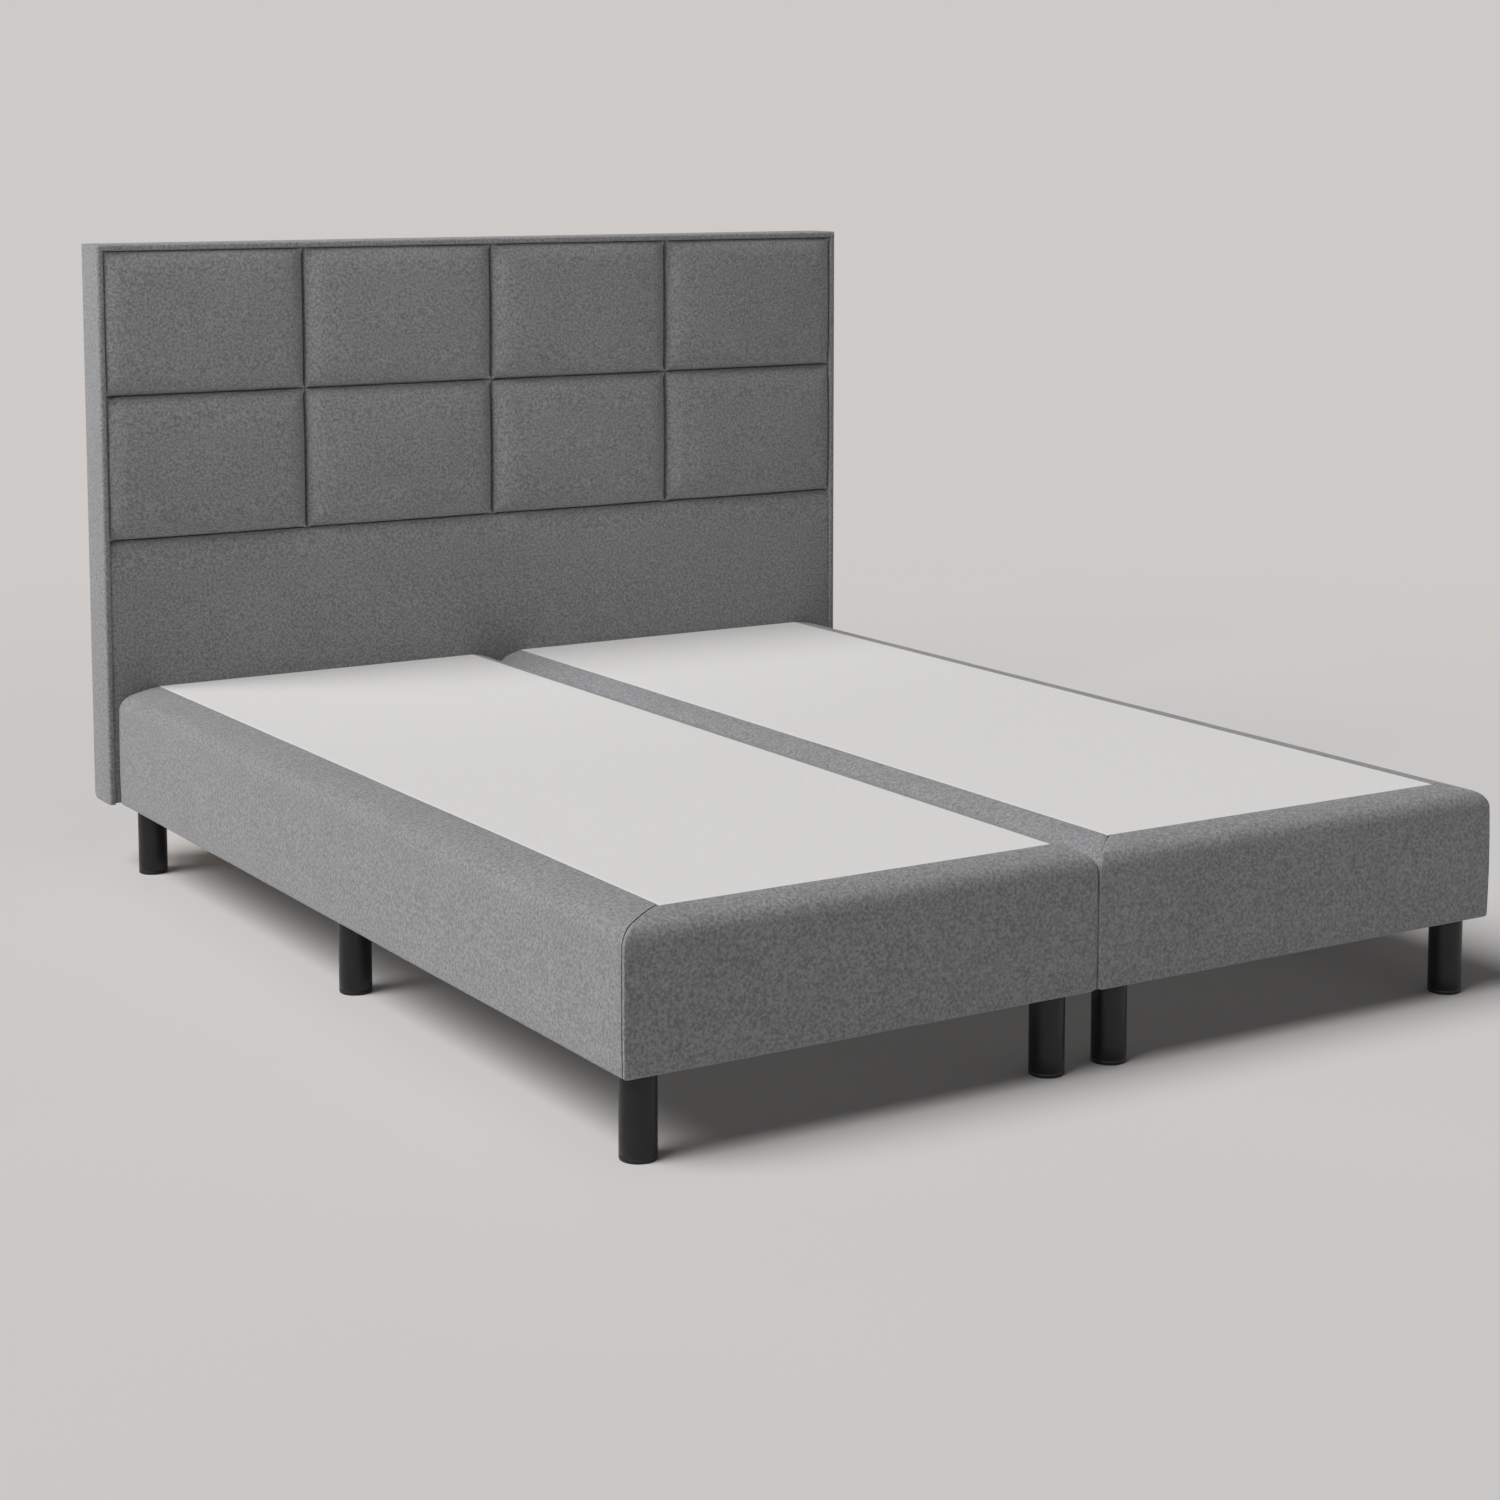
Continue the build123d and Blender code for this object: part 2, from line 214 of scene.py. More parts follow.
# %% [markdown]
# The grey cloth is felted wool: dark and light fibres are carded together before spinning, so up close it
# is a cloud of small flecks and from afar an even mid grey. Coarse noise gives the clouds of about 5 mm,
# fine noise the fibres, and both shift the colour between a dark and a light grey. The fine noise also
# lifts the surface a little. Loose fibres catch light at the edges of a form, which is what the sheen is
# for.

# %% Grey wool
def grey_wool():
    wool = Finish("grey_wool", Roughness=0.95, Sheen_Weight=0.25, Sheen_Roughness=0.6)
    wool.shader.inputs["Specular IOR Level"].default_value = 0.15
    at = wool.place()
    clouds = wool.noise(at, 205, 2.0, 0.6)
    fibres = wool.noise(at, 840, 2.0, 0.7, 1.2)
    flecks = (clouds * 0.55 + fibres * 0.45).spread(0.40, 0.60)
    patches = wool.noise(at, 9, 1.0).spread(0.3, 0.7)
    deep = wool.mixed(patches, tone(0.161, 0.160, 0.166), tone(0.172, 0.171, 0.177))
    pale = wool.mixed(patches, tone(0.338, 0.336, 0.346), tone(0.355, 0.353, 0.362))
    wool.feed("Base Color", wool.mixed(flecks, deep, pale))
    wool.bump(fibres * 0.6 + clouds * 0.4, 0.0012, 0.5)
    return wool.material


wool = grey_wool()
print("finish", wool.name, "with", len(wool.node_tree.nodes), "nodes")

# %% [markdown]
# The top of each base is a white non-woven cloth. Its fibres are pressed rather than woven, so it shows a
# faint blotchy grain and hardly any thread. Along its rim runs a narrow hem of doubled cloth, which the bump
# raises a little. Its colour is painted a little whiter there, as a painted highlight where the rim catches
# the light. The band needs no picture: the distance from a point to the nearest rim is plain arithmetic on
# its place.

# %% White top cloth
def white_cloth():
    cloth = Finish("white_cloth", Roughness=0.9, Sheen_Weight=0.08)
    cloth.shader.inputs["Specular IOR Level"].default_value = 0.2
    at = cloth.place()
    x, y, z = (cloth.node("ShaderNodeSeparateXYZ", {}, {0: at}, axis) for axis in range(3))
    across = abs(x)
    rim = (across - deck_low.x).least(deck_high.x - across).least(y - deck_low.y)
    # The hem band: it raises the bump and carries a painted highlight in the colour.
    hem_and_highlight = 1 - rim.spread(0.0045, 0.0060)  # About 5 mm wide, with a soft edge.
    pressed = (cloth.noise(at, 160, 2.0, 0.6) * 0.6 + cloth.noise(at, 900, 2.0) * 0.4).spread(0.35, 0.65)
    plain = cloth.mixed(pressed, tone(0.720, 0.713, 0.701), tone(0.775, 0.768, 0.755))
    # Painted highlight: along the hem the colour is lifted to a lighter white.
    cloth.feed("Base Color", cloth.mixed(hem_and_highlight, plain, tone(0.765, 0.759, 0.748)))
    cloth.bump(cloth.noise(at, 900, 2.0) + hem_and_highlight * 0.6, 0.0005, 0.4)
    return cloth.material


white = white_cloth()
print("finish", white.name)

# %% [markdown]
# The other cloths are seen only from below or behind: a thin black non-woven dust cover with pressed dots,
# a dark woven cloth over the headboard's back, and inside the deck a brown needled felt and cream foam.
# Each has its own grain. The dots are a Voronoi texture, the threads two wave patterns crossed.

# %% Hidden cloths, felt and foam
def dotted_cloth():
    cloth = Finish("black_dust_cloth", Roughness=0.9)
    at = cloth.place()
    dots = cloth.node("ShaderNodeTexVoronoi", {}, {"Vector": at, "Scale": 420.0}).spread(0.15, 0.45)
    cloth.feed("Base Color", cloth.mixed(dots, tone(0.018), tone(0.034)))
    return cloth.bump(dots, 0.0003, 0.5).material


def woven_cloth():
    cloth = Finish("dark_back_cloth", Roughness=0.9)
    threads = []
    for axis in ("X", "Z"):
        settings = {"wave_type": "BANDS", "bands_direction": axis}
        values = {"Vector": cloth.place(), "Scale": 130.0}
        threads.append(cloth.node("ShaderNodeTexWave", settings, values, 1))
    weave = threads[0] * 0.5 + threads[1] * 0.5
    cloth.feed("Base Color", cloth.mixed(weave, tone(0.085, 0.085, 0.09), tone(0.15, 0.15, 0.157)))
    return cloth.bump(weave, 0.0004, 0.6).material


def matted(name, deep, pale, scale, depth):
    """Felt or foam: one noise for the cells or hairs, in colour and in height."""
    stuff = Finish(name, Roughness=1.0)
    grain = stuff.noise(stuff.place(), scale, 3.0, 0.7, 0.6).spread(0.35, 0.65)
    stuff.feed("Base Color", stuff.mixed(grain, deep, pale))
    return stuff.bump(grain, depth, 0.6).material


dust_cloth, back_cloth = dotted_cloth(), woven_cloth()
felt = matted("needled_felt", tone(0.2, 0.18, 0.16), tone(0.42, 0.39, 0.36), 260, 0.0015)
foam = matted("cream_foam", tone(0.78, 0.74, 0.6), tone(0.88, 0.85, 0.74), 520, 0.0008)
print("finishes", [m.name for m in (dust_cloth, back_cloth, felt, foam)])

# %% [markdown]
# The legs are turned and sprayed satin black: a smooth coat with a very faint ripple, which blurs a
# reflection into a soft upright band. The roughness drifts a little, because sprayed paint is never even.
# Steel wire and zinc plate are metals whose roughness has a fine drawn or crystalline grain.

# %% Black paint, plastic and steel
def satin_black():
    paint = Finish("satin_black", Base_Color=tone(0.008, 0.008, 0.009))
    paint.shader.inputs["Specular IOR Level"].default_value = 0.4
    at = paint.place()
    cloud = paint.noise(at, 60, 2.0)
    paint.feed("Roughness", cloud.spread(0.3, 0.7, 0.34, 0.44))
    return paint.bump(paint.noise(at, 500, 1.0), 0.00008, 0.3).material


def metal(name, colour, rough, stretch):
    steel = Finish(name, Metallic=1.0)
    grain = steel.noise(steel.place(stretch), 300, 2.0)
    steel.feed("Base Color", steel.mixed(grain, tone(*colour, share=0.82), tone(*colour)))
    return steel.feed("Roughness", grain.spread(0.3, 0.7, rough - 0.08, rough + 0.1)).material


satin = satin_black()
glide_plastic = matted("glide_plastic", tone(0.03), tone(0.06), 400, 0.0002)
spring_steel = metal("spring_steel", (0.55, 0.54, 0.52), 0.32, (1, 1, 0.2))
zinc = metal("zinc_plate", (0.66, 0.67, 0.66), 0.38, (1, 1, 1))
print("finishes", [m.name for m in (satin, glide_plastic, spring_steel, zinc)])

# %% [markdown]
# Sawn pine shows long grain lines along a board and a few darker streaks. The same noise gives both: it is
# stretched along the board, so it changes quickly across and slowly along. Particle board has no direction,
# only pressed chips, and a Voronoi texture with a random colour per cell looks like them.

# %% Timber and board
def pine(name, stretch):
    wood = Finish(name, Roughness=0.65)
    at = wood.place(stretch)
    rings = wood.noise(at, 60, 3.0, 0.6, 0.4)
    streaks = wood.noise(at, 240, 2.0, 0.5).spread(0.35, 0.75)
    body = wood.mixed(rings.spread(0.3, 0.7), tone(0.62, 0.42, 0.22), tone(0.76, 0.58, 0.36))
    wood.feed("Base Color", wood.mixed(streaks * 0.35, body, tone(0.5, 0.32, 0.16)))
    return wood.bump(streaks, 0.0004, 0.5).material


def chipboard():
    board = Finish("particle_board", Roughness=0.8)
    at = board.place((1, 1, 1))
    chips = board.node("ShaderNodeTexVoronoi", {}, {"Vector": at, "Scale": 260.0}, "Color")
    shade = board.node("ShaderNodeSeparateColor", {}, {0: chips})
    board.feed("Base Color", board.mixed(shade, tone(0.5, 0.38, 0.22), tone(0.78, 0.66, 0.46)))
    return board.bump(shade, 0.0003, 0.4).material


pine_along_x, pine_along_y = pine("pine_along_x", (0.06, 1, 1)), pine("pine_along_y", (1, 0.06, 1))
board_stuff = chipboard()
print("finishes", [m.name for m in (pine_along_x, pine_along_y, board_stuff)])

# %% [markdown]
# The parts that keep their solids only need their finish. A table from the start of a part's name to its
# material covers them all, left and right alike.

# %% Finishes for the solids of the frame
solid_finishes = {
    "side_rails": pine_along_y, "end_rails": pine_along_x, "cross_slats": pine_along_x,
    "leg_blocks": pine_along_y, "headboard_frame": pine_along_x, "headboard_board": board_stuff,
    "spring_wire": spring_steel, "leg_glides": glide_plastic,
    "leg_studs": zinc, "t_nuts": zinc, "headboard_bolts": zinc, "link_plates": zinc, "link_screws": zinc,
}
for name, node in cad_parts.items():
    for start, material in solid_finishes.items():
        if name.startswith(start):
            node.data.materials.clear()
            node.data.materials.append(material)
print(len(solid_finishes), "kinds of solid have their finish")

# %% [markdown]
# Every soft piece here starts as rings or a grid of points. The next helpers turn points and faces into a
# piece, and skin a row of rings into a closed body with a cap at each end. Edges sharper than about 50
# degrees stay crisp and the rest are shaded smooth. One more helper hands a piece to its body and its CAD
# parts.

# %% From points to pieces
def piece_of(name, points, faces, material):
    mesh = bpy.data.meshes.new(name)
    mesh.from_pydata([tuple(p) for p in points], [], faces)
    mesh.validate()
    piece = bpy.data.objects.new(name, mesh)
    bpy.context.scene.collection.objects.link(piece)
    mesh.materials.append(material)
    mesh.shade_smooth()
    mesh.set_sharp_from_angle(angle=0.9)
    return piece


def skinned(name, rings, material):
    """A closed body through rings with the same number of points."""
    count = len(rings[0])
    points = [p for ring in rings for p in ring]
    faces = [tuple(range(count))[::-1], tuple(range(len(points) - count, len(points)))]
    for r in range(len(rings) - 1):
        for i in range(count):
            a, b = r * count + i, r * count + (i + 1) % count
            faces.append((a, b, b + count, a + count))
    return outward(piece_of(name, points, faces, material))


def outward(piece):
    """Turns every face outwards, whichever way the points ran."""
    shell = bmesh.new()
    shell.from_mesh(piece.data)
    bmesh.ops.recalc_face_normals(shell, faces=shell.faces)
    shell.to_mesh(piece.data)
    shell.free()
    return piece


def handed_over(piece, body, *nodes, slot="grey_wool", fill=0.9):
    """Rides the piece on its body in place of its CAD parts, which it hides. The fill is not used."""
    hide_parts(*nodes)
    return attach(piece, body)


print("rings and grids can be turned into pieces")

# %% [markdown]
# A base's border is foam and wool wrapped over the timber rail: an upright face, a soft rolled edge, a
# shoulder that swells up to the white cloth, and a tuck where the white cloth starts. Three borders meet in
# mitred seams. They all use one row of stations round the section. Each station has a height and, for each
# border, how far it lies inside that border's face, so at a corner two borders share the very same points.

# %% The section of a border
roll_height, shoulder_fall, round_under, tuck, border_swell = 0.028, 0.012, 0.005, 0.002, 0.0012
turned_by = 1.12  # How far the cloth has turned over at the end of the roll, in radians.
# The hidden side goes round the rail, and its foam lip ends just above the slats.
rail_low, rail_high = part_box("side_rails_right")
slats_low, slats_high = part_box("cross_slats_right")
rail_bottom, rail_top, rail_outside = rail_low.z - hair, rail_high.z + hair, rail_low.x - hair
lip_gap = 0.0005
rail_inside, lip_bottom = slats_low.x + hair, slats_high.z + lip_gap
# For each border, how wide it is on top and how far in its roll goes.
shoulders = {"side": (outer_x - deck_high.x - hair, 0.022), "foot": (deck_low.y - foot_y - hair, 0.014),
             "inner": (deck_low.x - hair, 0.016)}


def border_section():
    """Height, and how far in for side, foot and inner border, at each station. The first ones show."""
    rows = []

    def add(height, inwards):
        rows.append((height, [inwards(*shoulders[name]) for name in ("side", "foot", "inner")]))

    for step in range(5):
        angle = step / 4 * pi / 2
        add(base_bottom + round_under * (1 - sin(angle)), lambda w, r: round_under * (1 - cos(angle)))
    rows.reverse()
    top = deck_top - shoulder_fall - roll_height
    for step in range(1, 9):
        share = step / 8
        swell = border_swell * sin(pi * share)
        add(base_bottom + round_under + (top - base_bottom - round_under) * share, lambda w, r: -swell)
    for step in range(1, 13):
        angle = step / 12 * turned_by
        up, inside = sin(angle) / sin(turned_by), (1 - cos(angle)) / (1 - cos(turned_by))
        add(top + roll_height * up, lambda w, r: r * inside)
    for step in range(1, 9):
        share = step / 9
        add(deck_top - shoulder_fall * (1 - share) ** 1.6, lambda w, r: r + (w - tuck - r) * share)
    for step in range(5):
        angle = step / 4 * pi / 2
        add(deck_top - tuck * (1 - cos(angle)), lambda w, r: w - tuck + tuck * sin(angle))
    shown = len(rows)
    hidden = ((lip_bottom, None), (lip_bottom, rail_inside), (rail_top, rail_inside), (rail_top, rail_outside),
              (rail_bottom, rail_outside), (rail_bottom, rail_inside), (base_bottom, rail_inside))
    for height, inwards in hidden:
        add(height, lambda w, r: w if inwards is None else inwards)
    return rows, shown


rows, shown = border_section()
print(len(rows), "stations round a border,", shown, "of them on its outside")

# %% [markdown]
# At a seam the cloth is pulled in, so the last rings of a border shrink along the section's own normals. At
# the outer foot corner the side cloth is turned under and sewn down, which leaves a narrow welt and a fine
# dark line beside it; in the middle both bases simply fold in. The long runs get a slow ripple of half a
# millimetre, because stretched cloth over foam is never dead flat. The foot border lies across the bed and
# the other two along it, so a ring is laid out by one small function.

# %% The six borders
heights = np.array([row[0] for row in rows])
inward = {name: np.array([row[1][i] for row in rows]) for i, name in enumerate(("side", "foot", "inner"))}


def narrowed(name, amount):
    """The section pulled in by an amount along its normals, only where it shows."""
    across, up = inward[name].copy(), heights.copy()
    step_in, step_up = np.gradient(across[:shown]), np.gradient(up[:shown])
    length = np.hypot(step_in, step_up)
    across[:shown] += amount * step_up / length
    up[:shown] -= amount * step_in / length
    return across, up


ripple_height, ripples_per_metre = 0.0005, 7


def ripple(along, seed):
    """A slow wave along a border."""
    return ripple_height * noise.noise((along * ripples_per_metre, seed, 0.3))


# How far from an end each ring is, and how far it is pulled in.
butted = [(0, 0.0012), (0.0008, 0.0004), (0.002, 0.0001), (0.009, 0)]
folded = [(0, 0.005), (0.0012, 0.0028), (0.0028, 0.0012), (0.0055, 0.0003), (0.009, 0)]
welted = [(0, 0.0012), (0.001, 0.0004), (0.0035, 0.0002), (0.0058, 0.0003),
          (0.0064, 0.0085), (0.0086, 0.0085), (0.0092, 0.0004), (0.014, 0)]
seams = {"side": (welted, folded), "foot": (folded, butted), "inner": (folded, folded)}
corner_reach, plain_rings = 0.10, 40


def stations(name, start, end):
    """Places along a run with how much each ring is pulled in, close together at both ends."""
    first, last = seams[name]
    for shift, pull in first:
        yield start + shift, "start", pull
    for place in np.linspace(start + corner_reach, end - corner_reach, plain_rings):
        yield place, "middle", 0.0
    for shift, pull in reversed(last):
        yield end - shift, "end", pull


def border_ring(name, sign, place, part, pull):
    """One ring of a border: the points follow the mitre at the ends and stand square between."""
    across, up = narrowed(name, pull + (ripple(place, sign) if part == "middle" else 0))
    if name == "foot":
        outer, inner = inward["side"], inward["inner"]
        if part == "start":
            x = inner + place
        elif part == "end":
            x = place - outer
        else:
            x = np.full(len(across), place)
        return [Vector((sign * max(a, hair), foot_y + b, c)) for a, b, c in zip(x, across, up)]
    y = inward["foot"] + place if part == "start" else np.full(len(across), place)
    x = outer_x - across if name == "side" else np.maximum(across, hair)
    return [Vector((sign * a, b, c)) for a, b, c in zip(x, y, up)]


for side, sign in sides.items():
    for name in ("side", "foot", "inner"):
        run = (0, outer_x) if name == "foot" else (foot_y, head_y - gap)
        rings = [border_ring(name, sign, *station) for station in stations(name, *run)]
        border = skinned(f"{name}_border_wool_{side}", rings, wool)
        handed_over(border, "frame", f"{name}_border_{side}")
print("borders", round(outer_x, 3), "by", round(head_y - foot_y, 3))

# %% [markdown]
# Behind the headboard's line the head end is padded too. It is a thin pad on the rail, folded under it, so
# its section is a hook. It hides when the bed stands together and shows only if the bases are pulled apart.

# %% Head-end pads
pad_low, pad_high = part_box("head_padding_right")
pad_round, fold_reach, fold_thickness = 0.003, 0.031, 0.0018
# How far in from the head end, and how high: up the rail, over its top, down the outside and under the rail.
hook = [(rail_outside, pad_low.z + fold_thickness + hair), (rail_outside, pad_high.z),
        (pad_round / 2, pad_high.z), (gap, pad_high.z - pad_round), (gap, pad_low.z + pad_round),
        (pad_round, pad_low.z), (fold_reach, pad_low.z), (fold_reach, pad_low.z + fold_thickness)]
for side, sign in sides.items():
    rings = [[Vector((sign * x, head_y - depth, z)) for depth, z in hook]
             for x in np.linspace(pad_low.x + gap, pad_high.x - gap, 24)]
    handed_over(skinned(f"head_pad_wool_{side}", rings, wool), "frame", f"head_padding_{side}")
print("head pads from", round(pad_low.x, 3), "to", round(pad_high.x, 3))

# %% [markdown]
# A cloth is a thin thing, so it is made as a grid of points with a second grid just below it, joined round
# the rim. The same helper serves the white tops, the dust covers and the headboard's back. The quilted pads
# are closed in the same way, with their second grid flat against the board.

# %% Thin sheets
def closed(name, front, back, material):
    """A closed piece from two grids with the same number of points, joined round the rim."""
    wide, long = len(front), len(front[0])
    points = [p for grid in (front, back) for row in grid for p in row]
    faces, size = [], wide * long
    for i in range(wide - 1):
        for j in range(long - 1):
            a, b, c, d = i * long + j, i * long + j + 1, (i + 1) * long + j + 1, (i + 1) * long + j
            faces += [(a, b, c, d), (d + size, c + size, b + size, a + size)]
    rim = [i * long for i in range(wide)] + [(wide - 1) * long + j for j in range(1, long)]
    rim += [i * long + long - 1 for i in range(wide - 2, -1, -1)] + list(range(long - 2, 0, -1))
    faces += [(a, b, b + size, a + size) for a, b in zip(rim, rim[1:] + rim[:1])]
    return outward(piece_of(name, points, faces, material))


def thin(name, grid, under, material):
    """A sheet from a grid of points, with its underside moved by the vector under."""
    top = [[Vector(p) for p in row] for row in grid]
    return closed(name, top, [[p + Vector(under) for p in row] for row in top], material)


print("sheets are two grids, joined round the rim")

# %% [markdown]
# The white top has to follow the deck when somebody sits on it, while its rim stays sewn to the grey
# border. So it is a panel that rides on the deck, with four mitred strips round it that stay where they are
# made. Together they are one flat cloth at rest. The last few millimetres dip into the tuck of the border.

# %% White tops
strip, cloth_under = 0.075, (0, 0, -0.0015)
top_z = deck_top + gap
dip_depth, dip_reach = 0.0005, 0.0035


def dipped(distance):
    """How far the cloth lies below its top, this far from its rim."""
    return dip_depth * max(0.0, 1 - distance / dip_reach) ** 2


def cloth_strip(edge, sign):
    """A mitred strip along one edge: rows run from the rim inwards, columns along it."""
    grid = []
    for share in (0, 0.005, 0.012, 0.022, 0.035, 0.05, 0.1, 0.25, 0.5, 0.75, 1):
        inset = strip * share
        x0, x1, y0, y1 = deck_low.x + inset, deck_high.x - inset, deck_low.y + inset, deck_high.y - inset
        ends = {"outer": ((x1, y0), (x1, y1)), "inner": ((x0, y0), (x0, y1)),
                "foot": ((x0, y0), (x1, y0)), "head": ((x0, y1), (x1, y1))}[edge]
        line = [Vector(ends[0]).lerp(Vector(ends[1]), t) for t in np.linspace(0, 1, 30)]
        grid.append([(sign * p.x, p.y, top_z - dipped(inset)) for p in line])
    return grid


for side, sign in sides.items():
    body = f"deck_{side}"
    x0, x1 = deck_low.x + strip, deck_high.x - strip
    y0, y1 = deck_low.y + strip, deck_high.y - strip
    flat = [[(sign * x, y, top_z) for y in np.linspace(y0, y1, 40)] for x in np.linspace(x0, x1, 14)]
    panel = thin(f"white_panel_{side}", flat, cloth_under, white)
    handed_over(panel, body, f"deck_cover_{side}", slot="deck_cloth", fill=None)
    inwards = {"outer": (-1, 0), "inner": (1, 0), "foot": (0, 1), "head": (0, -1)}
    for edge, (dx, dy) in inwards.items():
        cloth = thin(f"white_{edge}_{side}", cloth_strip(edge, sign), cloth_under, white)
        start = Vector((sign * (deck_high.x if edge == "outer" else deck_low.x),
                        deck_high.y if edge == "head" else deck_low.y, top_z))
        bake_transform(cloth)
        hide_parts(f"deck_cover_{side}")
print("white top", round(deck_high.x - deck_low.x, 3), "by", round(deck_high.y - deck_low.y, 3))

# %% [markdown]
# Under the cloth lie a sheet of foam and one of felt. Both are slabs with rounded rims, made from rings
# that shrink at the top and bottom. They ride on the deck, since they sink with it.

# %% Foam and felt
slab_corner = 0.012


def slab(name, low, high, soft, material):
    """A slab with rounded rims, from rings that run round it."""
    def ring(inset, z):
        x0, x1, y0, y1 = low.x + inset, high.x - inset, low.y + inset, high.y - inset
        turns, corners = [], ((x1, y1), (x0, y1), (x0, y0), (x1, y0))
        for number, (x, y) in enumerate(corners):
            for step in range(5):
                angle = (number + step / 4) * pi / 2
                sx, sy = (1 if x == x1 else -1), (1 if y == y1 else -1)
                turns.append(Vector((x - sx * slab_corner + slab_corner * cos(angle),
                                     y - sy * slab_corner + slab_corner * sin(angle), z)))
        return turns

    rings = [ring(soft * (1 - sin(a)), low.z + soft * (1 - cos(a))) for a in np.linspace(0, pi / 2, 5)]
    rings += [ring(soft * (1 - cos(a)), high.z - soft * (1 - sin(a))) for a in np.linspace(0, pi / 2, 5)]
    return skinned(name, rings, material)


for side in sides:
    for layer, material, soft in (("foam", foam, 0.004), ("felt", felt, 0.002)):
        low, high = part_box(f"deck_{layer}_{side}")
        inset = Vector((0.001, 0.001, 0.0006 if layer == "foam" else hair))
        top = high - inset - Vector((0, 0, 0.0006))
        made = slab(f"deck_{layer}_pad_{side}", low + inset, top, soft, material)
        handed_over(made, f"deck_{side}", f"deck_{layer}_{side}", slot=layer, fill=1.0)
print("foam and felt lie under the white tops")

# %% [markdown]
# The springs stand on the slats and carry the deck, so they get shorter when it sinks. Each coil is a round
# wire wound between the slats and the deck, and the thirty coils of a base are one piece.

# %% Springs
wire_radius, coil_radius, coil_turns, coil_steps, wire_sides = 0.002, 0.033, 4, 32, 10
coil_columns, coil_rows = 3, 10


def wound(x, y, bottom, top):
    """The points and faces of one coil, with a flat cap at each end."""
    points, faces, count = [], [], coil_turns * coil_steps
    climb = Vector((0, 0, (top - bottom - 2 * wire_radius) / count))
    for step in range(count + 1):
        angle = 2 * pi * step / coil_steps
        out = Vector((cos(angle), sin(angle), 0))
        middle = Vector((x, y, bottom + wire_radius)) + out * coil_radius + climb * step
        for number in range(wire_sides):
            round_angle = 2 * pi * number / wire_sides
            points.append(middle + (out * cos(round_angle) + Vector((0, 0, sin(round_angle)))) * wire_radius)
    for step in range(count):
        for number in range(wire_sides):
            a, b = step * wire_sides + number, step * wire_sides + (number + 1) % wire_sides
            faces.append((a, b, b + wire_sides, a + wire_sides))
    faces += [tuple(range(wire_sides))[::-1], tuple(range(count * wire_sides, (count + 1) * wire_sides))]
    return points, faces


for side in sides:
    low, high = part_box(f"springs_{side}")
    margin = coil_radius + wire_radius
    points, faces = [], []
    for x in np.linspace(low.x + margin, high.x - margin, coil_columns):
        for y in np.linspace(low.y + margin, high.y - margin, coil_rows):
            coil_points, coil_faces = wound(x, y, low.z, high.z)
            faces += [tuple(number + len(points) for number in face) for face in coil_faces]
            points += coil_points
    coils = outward(piece_of(f"coils_{side}", points, faces, spring_steel))
    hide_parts(f"springs_{side}")
    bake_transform(coils)
print("coils from", round(low.z, 3), "to", round(high.z, 3))

# %% [markdown]
# The dust cover is a cheap black cloth stapled to the underside of the frame. It hangs a hair lower in the
# middle of each field, where nothing holds it. The headboard's back wears a dark cloth in the same way.

# %% Dust covers and back cloth
cover_sag, cover_thickness, back_dip, back_thickness = 0.0008, 0.0004, 0.0015, 0.0012
for side in sides:
    low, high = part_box(f"dust_cover_{side}")
    wide, long = high.x - low.x, high.y - low.y
    grid = [[(low.x + wide * u, low.y + long * v, high.z - hair / 2 - cover_sag * sin(pi * u) * sin(pi * v))
             for v in np.linspace(0, 1, 30)] for u in np.linspace(0, 1, 14)]
    cover = thin(f"dust_cloth_{side}", grid, (0, 0, -cover_thickness), dust_cloth)
    handed_over(cover, "frame", f"dust_cover_{side}", slot="dust_cloth", fill=None)

low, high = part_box("headboard_back")
wide, tall = high.x - low.x, high.z - low.z
# The back cloth is pulled in over the twelfth of its size that lies next to the staples.
grid = [[(low.x + wide * u, high.y - back_dip * max(0, 1 - 12 * min(u, 1 - u, v, 1 - v)) ** 2,
          low.z + tall * v) for v in np.linspace(0, 1, 40)] for u in np.linspace(0, 1, 60)]
back = thin("headboard_back_cloth", grid, (0, -back_thickness, 0), back_cloth)
handed_over(back, "frame", "headboard_back", slot="back_cloth", fill=None)
print("back cloth", round(wide, 3), "by", round(tall, 3))

# %% [markdown]
# A quilted pad is foam under cloth that is sewn down along its edges. Near a seam the cloth first drops
# steeply and then eases out into the crown, and it puckers a little along the stitches. So the face is a
# height for every point, worked out from its distance to the four seams. Where four pads meet, the cloth
# can't be pulled in as deep, which leaves the small bridge that shows at each crossing.

# %% Padded panels
# How much of the rise from a seam each curve takes, and how wide it is: a steep step, a rolled edge and a
# slow dome.
rise_curves = ((0.28, 0.006), (0.50, 0.034), (0.22, 0.140))
sewn = 0.005  # A dip deeper than this is a seam, with puckers and a bridge at each crossing.
second_share = 0.25  # Near a corner, how much the second seam adds of its own drop.
pucker_height, pucker_reach, bridge_share, bridge_reach = 0.0007, 0.012, 0.45, 0.010


def eased(distance):
    """From 0 at a seam to 1 in the middle of a pad."""
    return sum(share * (1 - (1 - min(distance / width, 1)) ** 2) for share, width in rise_curves)


def marks(start, end, count):
    """Places across a panel, close together near both ends."""
    near = [0, 0.0012, 0.0025, 0.004, 0.006, 0.009, 0.013, 0.018, 0.025, 0.034]
    middle = np.linspace(start + 0.045, end - 0.045, count)
    return [start + n for n in near] + list(middle) + [end - n for n in reversed(near)]


